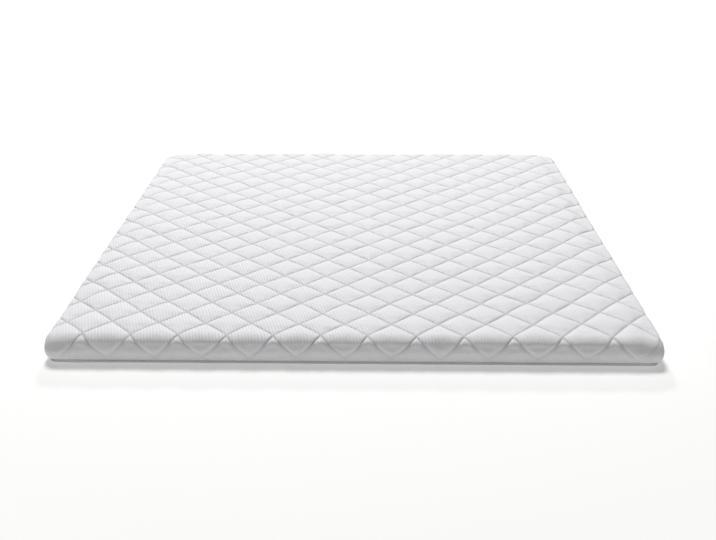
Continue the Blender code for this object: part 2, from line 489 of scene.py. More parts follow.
    def fold(self, x: Array, y: Array, raised: Array) -> Array:
        """Fold flat cloth over the rim.

        The place is the core point, plus the outward direction times the section's reach, raised
        along the section's normal. The corners' fullness and the front's lean are added to the
        reach, and the crown less the droop to the height.

        Args:
            x: Places across.
            y: Places along.
            raised: Height of the cloth above the section.

        Returns:
            Places in space, with a last axis of three.
        """
        near_x, near_y, out_x, out_y, distance = self.leave_core(x, y)
        past = distance - self.flat_reach
        reach, drop, out, up = self.profile(past)
        soft = self.softness(x, y)
        flat = distance + soft <= 0
        reach = reach + self.corner_fullness(self.from_corner(x, y), drop) + self.lean(past, out_y)
        sunk = self.droop(x, y)
        outward = soft + self.flat_reach + reach + raised * out - self.side_draw * sunk * out
        radial = np.where(flat, 0.0, outward)
        height = self.rim_height + self.crown_height(x, y) - sunk - drop + raised * up
        return np.stack([near_x + out_x * radial, near_y + out_y * radial, height], -1)

    def onto_seam(self, x: Array, y: Array, margin: float) -> tuple[Array, Array, Array]:
        """Draw places at or past the seam onto its line.

        Args:
            x: Places across.
            y: Places along.
            margin: Strip before the seam that is drawn onto it too.

        Returns:
            New places across and along, and which of them are still inside.
        """
        near_x, near_y, out_x, out_y, distance = self.leave_core(x, y)
        inside = distance < self.cloth_reach - margin
        radius = self.cloth_reach + self.softness(x, y)
        seam_x = np.where(inside, x, near_x + out_x * radius)
        seam_y = np.where(inside, y, near_y + out_y * radius)
        return seam_x, seam_y, inside


@dataclass(frozen=True)
class FillingRelief:
    """Height of the filled fields over their sewn lines, as uneven as handling leaves them."""

    pattern: SewnPattern
    section: RimSection
    pillow: float = 0.0075
    side_pillow: float = 0.0030
    tent_fullness: float = 0.018
    tent_elsewhere: float = 0.30
    rim_calm: float = 0.30
    rim_calm_reach: float = 0.044
    rim_calm_start: float = 0.1
    tent_length: float = 0.045
    tent_spread: float = 0.030
    front_fullness: float = 0.002
    front_middle: float = 0.012
    front_reach: float = 0.020
    corner_calm: float = 0.55
    corner_calm_reach: float = 0.075
    shoulder: float = 0.27
    channel_round: float = 0.035
    pinch: float = 0.0019
    pinch_width: float = 0.0030
    side_softening: float = 0.93
    fullness_spread: float = 0.12
    tilt: float = 0.010
    crease_depth: float = 0.0007
    crease_width: float = 0.0065
    crease_length: float = 0.040
    crease_turn: float = 0.45
    crease_offset: float = 0.35
    creases: int = 3
    pucker: float = 0.00035
    pucker_width: float = 0.0065
    pucker_length: float = 0.019
    pucker_drift: float = 2.5
    pucker_drift_length: float = 0.11
    pucker_patch: float = 0.6
    pucker_patch_length: float = 0.31
    pucker_most: float = 1.6
    tuck_depth: float = 0.0035
    tuck_width: float = 0.013
    tucks: tuple[tuple[int, int, float], ...] = (
        (1, -1, 0.30),
        (1, -1, 0.78),
        (-1, -1, 0.62),
        (-1, 1, 0.5),
        (1, 1, 0.5),
    )
    seed: int = 31

    @property
    def span(self) -> tuple[int, int, int, int]:
        """Lowest and highest whole u, and lowest and highest whole v, that cover the cloth."""
        return self.pattern.field_span(self.section.core[0] + self.section.cloth_reach)

    def full_height(self, past: Array, tent: Array) -> Array:
        """Height of a field's middle: level on top, lower down the side, none at the seam.

        A field that starts at the rim stands out there like a small tent, fullest at its top.

        Args:
            past: Length of cloth past the start of the rim.
            tent: How far the field is such a tent, from zero to one.

        Returns:
            The height for each place.
        """
        over = ramp(past + self.section.rim_arc / 2, 1.5 * self.section.rim_arc)
        down = ramp(past - self.section.rim_arc, self.section.side_drop)
        top = self.pillow + (self.side_pillow - self.pillow) * over**2
        falling = np.cos(ramp(past, self.tent_length) * math.pi / 2) ** 2
        return (top + self.tent_fullness * tent * falling) * (1 - down**2)

    def frontness(self, y: Array) -> Array:
        """How far a place belongs to the front rim: a ramp over the last of the level top."""
        return ramp(-y - self.section.core[1], self.section.flat_reach)

    def front_bulge(self, past: Array, y: Array) -> Array:
        """Extra height of all fields over the front rim: a bell of the distance past its start."""
        return self.front_fullness * self.frontness(y) * bell(past - self.front_middle, self.front_reach)

    def tents(self) -> Array:
        """How far each field starts at the rim: a bell of its middle's place past the rim.

        Returns:
            A table with a number from zero to one for each field.
        """
        low_u, high_u, low_v, high_v = self.span
        rows, columns = np.arange(low_u, high_u + 1), np.arange(low_v, high_v + 1)
        u, v = np.meshgrid(rows + 0.5, columns + 0.5, indexing="ij")
        past = self.section.past_rim(*self.pattern.to_cloth(u, v))
        return bell(past - self.pattern.half_pitch, self.tent_spread)

    def field_table(self, seed: int) -> Array:
        """A seeded normal number for each field, in a table of rows by u and columns by v."""
        low_u, high_u, low_v, high_v = self.span
        return np.random.default_rng(seed).standard_normal((high_u - low_u + 1, high_v - low_v + 1))

    def in_field(self, u: Array, v: Array) -> tuple[tuple[Array, Array], Array, Array]:
        """Which field each place lies in, and where it lies from that field's middle.

        Args:
            u: First lattice numbers.
            v: Second lattice numbers.

        Returns:
            The field's row and column in a table, and the steps from its middle in u and in v.
        """
        low_u, high_u, low_v, high_v = self.span
        whole_u, whole_v = np.floor(u), np.floor(v)
        row = np.clip(whole_u.astype(int) - low_u, 0, high_u - low_u)
        column = np.clip(whole_v.astype(int) - low_v, 0, high_v - low_v)
        return (row, column), u - whole_u - 0.5, v - whole_v - 0.5

    def share(self, u: Array, v: Array) -> Array:
        """Share of a field's height: a low power of the product of two sines, rounded at its foot.

        Args:
            u: First lattice numbers.
            v: Second lattice numbers.

        Returns:
            The share, none on the sewn lines and all of it in a field's middle.
        """
        across = np.abs(np.sin(math.pi * u) * np.sin(math.pi * v))
        foot = self.channel_round**self.shoulder
        high = (1 + self.channel_round**2) ** (self.shoulder / 2)
        raised = (across**2 + self.channel_round**2) ** (self.shoulder / 2)
        return (raised - foot) / (high - foot)

    def field_creases(self, u: Array, v: Array) -> Array:
        """Soft creases inside the fields, each a straight trough or ridge with round ends.

        Args:
            u: First lattice numbers.
            v: Second lattice numbers.

        Returns:
            The height that the creases add.
        """
        field, from_u, from_v = self.in_field(u, v)
        pitch = self.pattern.half_pitch
        right, back = (from_u + from_v) * pitch, (from_u - from_v) * pitch
        total = np.zeros(right.shape)
        for number in range(self.creases):
            seed = self.seed + 10 * number
            turn = self.crease_turn * self.field_table(seed)[field]
            beside = self.crease_offset * pitch * self.field_table(seed + 1)[field]
            depth = self.crease_depth * self.field_table(seed + 2)[field]
            across = back * np.cos(turn) - right * np.sin(turn) - beside
            along = right * np.cos(turn) + back * np.sin(turn)
            total += depth * bell(across, self.crease_width) * bell(along, self.crease_length)
        return total

    def seam_puckers(self, u: Array, v: Array, x: Array, y: Array) -> Array:
        """Small gathers beside each sewn line: waves along it that rise and die away from it.

        Args:
            u: First lattice numbers.
            v: Second lattice numbers.
            x: Places across.
            y: Places along.

        Returns:
            The height that the gathers add.
        """
        side = self.pattern.field_side
        total = np.zeros(np.broadcast(x, y).shape)
        phase = self.pucker_drift * swell(x, y, self.pucker_drift_length, self.seed + 5)
        uneven = swell(x, y, self.pucker_patch_length, self.seed + 6)
        patch = np.clip(self.pucker_patch + self.pucker_patch * uneven, 0.0, self.pucker_most)
        for line, along in ((u, v), (v, u)):
            beside = np.abs(line - np.round(line)) * side / self.pucker_width
            wave = np.sin(2 * math.pi * along * side / self.pucker_length + phase)
            total += self.pucker * patch * beside * np.exp(1 - beside) * wave
        return total

    def corner_tucks(self, x: Array, y: Array) -> Array:
        """Soft upright dents where the spare cloth is taken in round each corner.

        Each is a bell of the distance beside a line that leaves the corner's core point at a share
        of a right angle, and starts with a ramp over the rim.

        Args:
            x: Places across.
            y: Places along.

        Returns:
            The height that the dents add, which is never above zero.
        """
        core_x, core_y = self.section.core
        total = np.zeros(np.broadcast(x, y).shape)
        for sign_x, sign_y, turn in self.tucks:
            out_x, out_y = sign_x * x - core_x, sign_y * y - core_y
            angle = turn * math.pi / 2
            along = out_x * math.cos(angle) + out_y * math.sin(angle)
            beside = out_y * math.cos(angle) - out_x * math.sin(angle)
            there = ramp(along - self.section.flat_reach, self.section.rim_arc)
            total -= self.tuck_depth * there * bell(beside, self.tuck_width)
        return total

    def height(self, u: Array, v: Array, x: Array, y: Array) -> Array:
        """Height of the whole relief at lattice points with their flat places.

        Args:
            u: First lattice numbers.
            v: Second lattice numbers.
            x: Places across.
            y: Places along.

        Returns:
            The height above the section: fullness and tilt of each field times its share, with
            creases, puckers and tucks, less a bell of the distance from the sewn line.
        """
        past = self.section.past_rim(x, y)
        share = self.share(u, v)
        field, from_u, from_v = self.in_field(u, v)
        fullness = 1 + self.fullness_spread * self.field_table(self.seed + 7)[field]
        slope_u = self.tilt * self.field_table(self.seed + 8)[field]
        slope_v = self.tilt * self.field_table(self.seed + 9)[field]
        calm = 1 - self.corner_calm * bell(self.section.from_corner(x, y), self.corner_calm_reach)
        front = self.frontness(y)
        tent = self.tents()[field] * (self.tent_elsewhere + (1 - self.tent_elsewhere) * front)
        over = np.clip(self.rim_calm_start + past / self.rim_calm_reach, 0.0, 1.0)
        rim = np.sin(math.pi * over) ** 2 * (1 - front)
        full = self.full_height(past, tent) * (1 - self.rim_calm * rim)
        full = (full + self.front_bulge(past, y)) * calm
        level = full / self.pillow
        tilted = (slope_u * from_u + slope_v * from_v) * self.pattern.field_side
        small = (tilted + self.field_creases(u, v)) * share + self.seam_puckers(u, v, x, y)
        softer = 1 - self.side_softening * self.section.on_side(past)
        pinched = self.pinch * level * softer * bell(self.pattern.from_line(u, v), self.pinch_width)
        tucked = self.corner_tucks(x, y) * share
        return full * fullness * share + level * small + tucked - pinched


@dataclass(frozen=True)
class FlatCloth:
    """Cloth laid out flat: whole grids of numbers and places, and the points and quads in use."""

    u: Array
    v: Array
    x: Array
    y: Array
    inside: Array
    used: Array
    quads: Array


@dataclass(frozen=True)
class LatticeGrid:
    """Grid of cells that follows the sewn lines, cut to the outline of the cover."""

    cells: int
    closing: float
    margin: float = 0.0012

    def numbers(self, low: int, high: int) -> Array:
        """Lattice numbers whose steps close up towards the whole ones, by a sine of the place."""
        steps = np.arange((high - low) * self.cells + 1) / self.cells
        return low + steps - self.closing * np.sin(2 * math.pi * steps) / (2 * math.pi)

    def lay_out(self, relief: FillingRelief) -> FlatCloth:
        """Lay the grid out flat, with the points past the seam drawn onto it.

        Args:
            relief: The relief, with its sewn pattern and section.

        Returns:
            The flat cloth.
        """
        low_u, high_u, low_v, high_v = relief.span
        u, v = np.meshgrid(self.numbers(low_u, high_u), self.numbers(low_v, high_v), indexing="ij")
        x, y, inside = relief.section.onto_seam(*relief.pattern.to_cloth(u, v), self.margin)
        quads = grid_quads(np.arange(u.size).reshape(u.shape))
        used, quads = np.unique(quads[inside.ravel()[quads].any(1)], return_inverse=True)
        return FlatCloth(u, v, x, y, inside, used, quads.reshape(-1, 4))


@dataclass(frozen=True)
class FillingPressure:
    """Cloth simulation that presses the filling up between the sewn lines."""

    cells: int = 10
    margin: float = 0.004
    start_share: float = 0.88
    pressure: float = 4.0
    spare_cloth: float = 0.01
    vertex_mass: float = 0.005
    stretch_stiffness: float = 15.0
    shear_stiffness: float = 5.0
    bending_stiffness: float = 0.05
    air_damping: float = 2.0
    frames: int = 20
    cap: float = 0.0030
    quality: int = 4

    def interpolation(self, coarse: Array, fine: Array) -> Array:
        """Weights of a cubic through four neighbours, from evenly spaced numbers to others.

        Args:
            coarse: Evenly spaced lattice numbers.
            fine: Lattice numbers to read at.

        Returns:
            A matrix with a row for each fine number and a column for each coarse one.
        """
        step = coarse[1] - coarse[0]
        place = np.clip((fine - coarse[0]) / step, 0, len(coarse) - 1)
        left = np.minimum(place.astype(int), len(coarse) - 2)
        t = place - left
        weights = np.zeros((len(fine), len(coarse)))
        rows = np.arange(len(fine))
        cubic = (
            (-1, (-t + 2 * t**2 - t**3) / 2),
            (0, (2 - 5 * t**2 + 3 * t**3) / 2),
            (1, (t + 4 * t**2 - 3 * t**3) / 2),
            (2, (-(t**2) + t**3) / 2),
        )
        for shift, weight in cubic:
            column = np.clip(left + shift, 0, len(coarse) - 1)
            np.add.at(weights, (rows, column), weight)
        return weights

    def simulate(self, start: bpy.types.Object) -> Array:
        """Run the cloth on a starting mesh and read where its points have gone.

        Args:
            start: Mesh object with the vertex group of the sewn lines.

        Returns:
            The points after the last frame, N x 3.
        """
        modifier = start.modifiers.new("filling", "CLOTH")
        cloth = modifier.settings
        cloth.quality = self.quality
        cloth.mass = self.vertex_mass
        cloth.tension_stiffness = self.stretch_stiffness
        cloth.compression_stiffness = self.stretch_stiffness
        cloth.shear_stiffness = self.shear_stiffness
        cloth.bending_stiffness = self.bending_stiffness
        cloth.air_damping = self.air_damping
        cloth.vertex_group_mass = SEWN_NAME
        cloth.shrink_min = -self.spare_cloth
        cloth.shrink_max = -self.spare_cloth
        cloth.use_pressure = True
        cloth.uniform_pressure_force = self.pressure
        cloth.effector_weights.gravity = 0
        modifier.collision_settings.use_collision = False
        modifier.point_cache.frame_start = 1
        modifier.point_cache.frame_end = self.frames
        scene = bpy.context.scene
        for number in range(1, self.frames + 1):
            scene.frame_set(number)
        settled = start.evaluated_get(bpy.context.evaluated_depsgraph_get())
        points = np.zeros(len(settled.data.vertices) * 3, np.float32)
        settled.data.vertices.foreach_get("co", points)
        scene.frame_set(1)
        return points.reshape(-1, 3).astype(float)

    def settle(self, fine: LatticeGrid, relief: FillingRelief) -> Array:
        """Movement of the fine grid's points under the filling's pressure.

        The cloth is simulated on a coarser even grid, held along its sewn lines and its seam. Its
        movement, capped by a hyperbolic tangent, is read at the fine grid's lattice numbers.

        Args:
            fine: The fine grid of the cover.
            relief: The relief that the cloth starts from.

        Returns:
            A movement for each point of the fine grid, with a last axis of three.
        """
        coarse = LatticeGrid(cells=self.cells, closing=0.0, margin=self.margin)
        flat = coarse.lay_out(relief)
        raised = self.start_share * relief.height(flat.u, flat.v, flat.x, flat.y)
        places = relief.section.fold(flat.x, flat.y, raised).reshape(-1, 3)[flat.used]
        start = make_piece("filling_start", places, [flat.quads])
        half_cell = 0.5 / self.cells * relief.pattern.field_side
        on_line = relief.pattern.from_line(flat.u, flat.v) < half_cell
        held = (on_line | ~flat.inside).ravel()[flat.used]
        group = start.vertex_groups.new(name=SEWN_NAME)
        group.add(np.flatnonzero(held).tolist(), 1.0, "REPLACE")
        moved = self.simulate(start) - places
        size = np.linalg.norm(moved, axis=1, keepdims=True)
        log.info("filling moved %.4f m at most, %.4f m in the mean", size.max(), size.mean())
        moved *= self.cap * np.tanh(size / self.cap) / np.maximum(size, 1e-9)
        bpy.data.objects.remove(start)
        grid = np.zeros((flat.u.size, 3))
        grid[flat.used] = moved
        grid = grid.reshape(*flat.u.shape, 3)
        low_u, high_u, low_v, high_v = relief.span
        across = self.interpolation(coarse.numbers(low_u, high_u), fine.numbers(low_u, high_u))
        along = self.interpolation(coarse.numbers(low_v, high_v), fine.numbers(low_v, high_v))
        return np.einsum("ai,ijk,bj->abk", across, grid, along, optimize=True)


class NodeSheet:
    """The nodes of a material or a world, added and joined by short calls."""

    def __init__(self, owner: bpy.types.Material | bpy.types.World) -> None:
        """Switch the nodes on and find the shader.

        Args:
            owner: The new material or world.
        """
        owner.use_nodes = True
        self.owner = owner
        self.tree = owner.node_tree
        shaders = ("BSDF_PRINCIPLED", "BACKGROUND")
        self.shader = next(node for node in self.tree.nodes if node.type in shaders)

    def feed(self, node: bpy.types.Node, inputs: Inputs) -> None:
        """Join outputs of other nodes to a node's inputs, or set the inputs' own values.

        Args:
            node: The node that is fed.
            inputs: An output or a plain value for each input, by its name or number.
        """
        for socket, value in inputs.items():
            if isinstance(value, Socket):
                self.tree.links.new(value, node.inputs[socket])
            else:
                node.inputs[socket].default_value = value

    def add(self, kind: str, inputs: Inputs, **settings: object) -> bpy.types.NodeOutputs:
        """Add a node and feed it.

        Args:
            kind: Blender's name for the kind of node.
            inputs: An output or a plain value for each input that is fed.
            settings: Values for the node's own properties.

        Returns:
            The new node's outputs.
        """
        node = self.tree.nodes.new(kind)
        for name, value in settings.items():
            setattr(node, name, value)
        self.feed(node, inputs)
        return node.outputs

    def dress(self, inputs: Inputs) -> bpy.types.Material | bpy.types.World:
        """Feed the shader, and hand back the finished material or world."""
        self.feed(self.shader, inputs)
        return self.owner

    def math(self, operation: str, first: object, second: object = 0.0) -> Socket:
        """A sum or function of one or two numbers."""
        return self.add("ShaderNodeMath", {0: first, 1: second}, operation=operation)[0]

    def plus(self, first: object, second: object) -> Socket:
        """The sum of two numbers."""
        return self.math("ADD", first, second)

    def times(self, first: object, second: object) -> Socket:
        """The product of two numbers."""
        return self.math("MULTIPLY", first, second)

    def parts(self, vector: object) -> bpy.types.NodeOutputs:
        """The three numbers of a vector: across, along and up."""
        return self.add("ShaderNodeSeparateXYZ", {0: vector})

    def own_place(self) -> Socket:
        """The place in the piece's own coordinates."""
        return self.add("ShaderNodeTexCoord", {})["Object"]

    def cloth_place(self) -> tuple[Socket, Socket, Socket]:
        """The flat place on the cloth, in metres: as a vector, across and along."""
        place = self.add("ShaderNodeUVMap", {}, uv_map=UV_NAME)[0]
        return place, *self.parts(place)[:2]

    def climb(
        self, value: object, low: float, high: float, ends: tuple[float, float], kind: str = "LINEAR"
    ) -> Socket:
        """The first end up to the low value, the second from the high one on, and a ramp between."""
        inputs = zip(("Value", "From Min", "From Max", "To Min", "To Max"), (value, low, high, *ends))
        return self.add("ShaderNodeMapRange", dict(inputs), interpolation_type=kind)[0]

    def wave(self, along: object, pitch: float, phase: object = 0.0) -> Socket:
        """A sine of a length over a pitch, from minus one to one."""
        return self.math("SINE", self.plus(self.times(along, 2 * math.pi / pitch), phase))

    def noise(self, place: object, size: float, detail: float = 2.0) -> Socket:
        """Noise whose features are about a size, from zero to one."""
        return self.add("ShaderNodeTexNoise", {"Vector": place, "Scale": 1 / size, "Detail": detail})[0]

    def mottle(self, place: object, size: float, shade: float, detail: float = 2.0) -> Socket:
        """Noise from minus a shade to plus that shade."""
        return self.times(self.math("SUBTRACT", self.noise(place, size, detail), 0.5), 2 * shade)

    def shaded(self, colour: tuple[float, float, float], marks: object) -> Socket:
        """A colour times one plus its marks."""
        inputs = {0: colour, "Scale": self.plus(marks, 1.0)}
        return self.add("ShaderNodeVectorMath", inputs, operation="SCALE")[0]

    def bump(
        self, height: object, distance: float, strength: float = 1.0, under: Socket | None = None
    ) -> Socket:
        """A bumped normal.

        Args:
            height: The height, from minus one to one.
            distance: How high one is, in metres.
            strength: How much of the bump shows.
            under: Another bumped normal that it lies on, if any.

        Returns:
            The normal.
        """
        inputs = {"Height": height, "Distance": distance, "Strength": strength}
        if under is not None:
            inputs["Normal"] = under
        return self.add("ShaderNodeBump", inputs)[0]


@dataclass(frozen=True)
class KnitFinish:
    """White double knit: soft slanted ribs, a fine stitch structure and a dull sheen."""

    colour: tuple[float, float, float] = (0.795, 0.794, 0.813)
    roughness: float = 0.92
    sheen: float = 0.12
    sheen_roughness: float = 0.5
    specular: float = 0.25
    rib_pitch: float = 0.0105
    rib_lean: float = 0.30
    rib_wobble: float = 2.0
    rib_wobble_size: float = 0.05
    # Painted shade of the rib valleys: how far the ribs' colour stripes darken and lighten the knit.
    rib_painted_shade: float = 0.065
    rib_middle: float = 0.30
    rib_fading: float = 0.55
    rib_patch_size: float = 0.10
    rib_patch_gain: float = 2.4
    rib_patch_start: float = -0.2
    rib_height: float = 0.00022
    rib_levels: tuple[float, float] = (0.075, 0.098)
    stitch_pitch: float = 0.0026
    stitch_row_share: float = 0.8
    stitch_height: float = 0.00012
    stitch_strength: float = 0.8
    # Painted shade in the grooves: how much darker the colour is along the sewn lines.
    groove_painted_shade: float = 0.33
    patch_size: float = 0.03
    patch_shade: float = 0.015
    loop_size: float = 0.0065
    loop_shade: float = 0.080

    def build(self, name: str) -> bpy.types.Material:
        """Make the material.

        The ribs are sines of the place across a leaning line, stronger in some patches than in others.
        They are strongest left of the middle and give way to a dotted structure, the product of two
        fine sines, on the right.

        Args:
            name: Name of the material.

        Returns:
            The new material.
        """
        sheet = NodeSheet(bpy.data.materials.new(name))
        place, across, along = sheet.cloth_place()
        wobble = sheet.times(sheet.noise(place, self.rib_wobble_size), self.rib_wobble)
        leaned = sheet.plus(across, sheet.times(along, self.rib_lean))
        rib = sheet.wave(leaned, self.rib_pitch, wobble)
        from_middle = sheet.math("ABSOLUTE", sheet.plus(across, self.rib_middle))
        falling = sheet.math("SUBTRACT", 1.0, sheet.times(from_middle, self.rib_fading))
        patches = sheet.times(sheet.noise(place, self.rib_patch_size), self.rib_patch_gain)
        strength = sheet.times(falling, sheet.plus(patches, self.rib_patch_start))
        on_top = sheet.climb(sheet.parts(sheet.own_place())[2], *self.rib_levels, (0.0, 1.0))
        # The ribs' light and dark colour stripes are painted shade of their valleys; the same ribs are
        # also the bump's height.
        ribs = sheet.times(rib, sheet.times(strength, on_top))
        row = sheet.wave(along, self.stitch_pitch * self.stitch_row_share)
        dots = sheet.times(sheet.wave(across, self.stitch_pitch), row)
        # The sewn attribute darkens the colour along the sewn lines: painted shade in the grooves.
        sewn = sheet.add("ShaderNodeAttribute", {}, attribute_name=SEWN_NAME)["Fac"]
        lines = sheet.plus(sheet.times(ribs, self.rib_painted_shade), sheet.times(sewn, -self.groove_painted_shade))
        patch = sheet.mottle(place, self.patch_size, self.patch_shade)
        loops = sheet.mottle(place, self.loop_size, self.loop_shade, 1.0)
        marks = sheet.plus(lines, sheet.plus(patch, loops))
        ribbed = sheet.bump(ribs, self.rib_height)
        return sheet.dress(
            {
                "Base Color": sheet.shaded(self.colour, marks),
                "Roughness": self.roughness,
                "Sheen Weight": self.sheen,
                "Sheen Roughness": self.sheen_roughness,
                "Specular IOR Level": self.specular,
                "Normal": sheet.bump(dots, self.stitch_height, self.stitch_strength, ribbed),
            }
        )


@dataclass(frozen=True)
class WeaveFinish:
    """Plain white base cloth: a fine over-and-under weave."""

    colour: tuple[float, float, float] = (0.80, 0.80, 0.795)
    roughness: float = 0.95
    specular: float = 0.2
    thread_pitch: float = 0.0016
    thread_shade: float = 0.012
    thread_height: float = 0.00010
    thread_strength: float = 0.8
    patch_size: float = 0.02
    patch_shade: float = 0.02

    def build(self, name: str) -> bpy.types.Material:
        """Make the material: the weave is the product of two fine sines of the flat place.

        Args:
            name: Name of the material.

        Returns:
            The new material.
        """
        sheet = NodeSheet(bpy.data.materials.new(name))
        place, across, along = sheet.cloth_place()
        weave = sheet.times(sheet.wave(across, self.thread_pitch), sheet.wave(along, self.thread_pitch))
        patch = sheet.mottle(place, self.patch_size, self.patch_shade)
        marks = sheet.plus(sheet.times(weave, self.thread_shade), patch)
        return sheet.dress(
            {
                "Base Color": sheet.shaded(self.colour, marks),
                "Roughness": self.roughness,
                "Specular IOR Level": self.specular,
                "Normal": sheet.bump(weave, self.thread_height, self.thread_strength),
            }
        )


@dataclass(frozen=True)
class ThreadFinish:
    """White polyester sewing thread, a little darker and glossier than the knit."""

    colour: tuple[float, float, float] = (0.70, 0.70, 0.71)
    roughness: float = 0.55
    ply_pitch: float = 0.0012
    ply_shade: float = 0.04
    ply_height: float = 0.0001
    ply_strength: float = 0.5

    def build(self, name: str) -> bpy.types.Material:
        """Make the material: the plies are a fine sine along the thread.

        Args:
            name: Name of the material.

        Returns:
            The new material.
        """
        sheet = NodeSheet(bpy.data.materials.new(name))
        across, along, _ = sheet.parts(sheet.own_place())
        ply = sheet.wave(sheet.plus(across, along), self.ply_pitch)
        return sheet.dress(
            {
                "Base Color": sheet.shaded(self.colour, sheet.times(ply, self.ply_shade)),
                "Roughness": self.roughness,
                "Normal": sheet.bump(ply, self.ply_height, self.ply_strength),
            }
        )


@dataclass
class QuiltedCover:
    """The quilted knit cover over its filling, closed underneath."""

    relief: FillingRelief
    pressure: FillingPressure
    finish: KnitFinish
    cells: int = 20
    closing: float = 0.60
    # Width of the painted shade along the sewn lines, and how much of it fades down the side.
    groove_shade_width: float = 0.0028
    side_softening: float = 0.92
    turn_up: float = 0.016
    panel_thickness: float = 0.0025
    underside_steps: int = 4
    fill: float = 0.8

    def skirt(self, top: Array, quads: Array) -> tuple[Array, list[Array]]:
        """Close the cover underneath, from its seam to a level floor.

        Rows of points run from the seam straight down to the floor ring, and one level face closes
        the ring.

        Args:
            top: Points of the folded cloth, N x 3.
            quads: Faces of the folded cloth.

        Returns:
            The new points, and the new faces as arrays.
        """
        section = self.relief.section
        edges = np.concatenate([quads[:, [k, (k + 1) % 4]] for k in range(4)])
        keys = edges[:, 0] * len(top) + edges[:, 1]
        twins = edges[:, 1] * len(top) + edges[:, 0]
        seam = np.unique(edges[~np.isin(keys, twins)])
        order = seam[np.argsort(np.arctan2(top[seam, 1], top[seam, 0]))]
        _, _, out_x, out_y, _ = section.leave_core(top[order, 0], top[order, 1])
        outward = np.stack([out_x, out_y], -1)
        steps = np.arange(1, self.underside_steps + 1)[:, None] / self.underside_steps
        inset = steps * (self.turn_up + section.gap)
        low = self.panel_thickness + section.gap
        height = top[order, 2] + steps * (low - top[order, 2])
        plan = top[order, :2] - inset[..., None] * outward
        rows = np.concatenate([plan, height[..., None]], -1)
        number = len(top) + np.arange(height.size).reshape(height.shape)
        walls = grid_quads(np.concatenate([order[None, :], number]), closed=True)[:, [0, 3, 2, 1]]
        return rows.reshape(-1, 3), [walls, number[-1][None, ::-1]]

    def build(self) -> bpy.types.Object:
        """Returns:
            The finished piece.
        """
        section, pattern = self.relief.section, self.relief.pattern
        grid = LatticeGrid(self.cells, self.closing)
        flat = grid.lay_out(self.relief)
        raised = self.relief.height(flat.u, flat.v, flat.x, flat.y)
        moved = self.pressure.settle(grid, self.relief) * flat.inside[..., None]
        places = section.fold(flat.x, flat.y, raised * self.pressure.start_share) + moved
        top = places.reshape(-1, 3)[flat.used]
        lower, walls = self.skirt(top, flat.quads)
        piece = make_piece("quilted_cover", np.concatenate([top, lower]), [flat.quads, *walls])
        cloth = np.stack([flat.x.ravel()[flat.used], flat.y.ravel()[flat.used]], -1)
        add_uv(piece, np.concatenate([cloth, lower[:, :2]]))
        # Closeness to the sewn lines, fainter down the side, stored as the sewn attribute: the mask of
        # the painted shade in the grooves.
        softer = 1 - self.side_softening * section.on_side(section.past_rim(cloth[:, 0], cloth[:, 1]))
        off = pattern.from_line(flat.u, flat.v).ravel()[flat.used]
        sewn = bell(off, self.groove_shade_width) * softer
        add_share(piece, SEWN_NAME, np.concatenate([sewn, np.zeros(len(lower))]))
        piece.data.materials.append(self.finish.build("quilted_knit_finish"))
        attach(piece, "root")
        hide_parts("quilted_body")
        log.info("quilted cover: %d faces", len(piece.data.polygons))
        return piece


class Diagonal(Enum):
    """The two families of sewn lines."""

    RISING = "rising"
    FALLING = "falling"


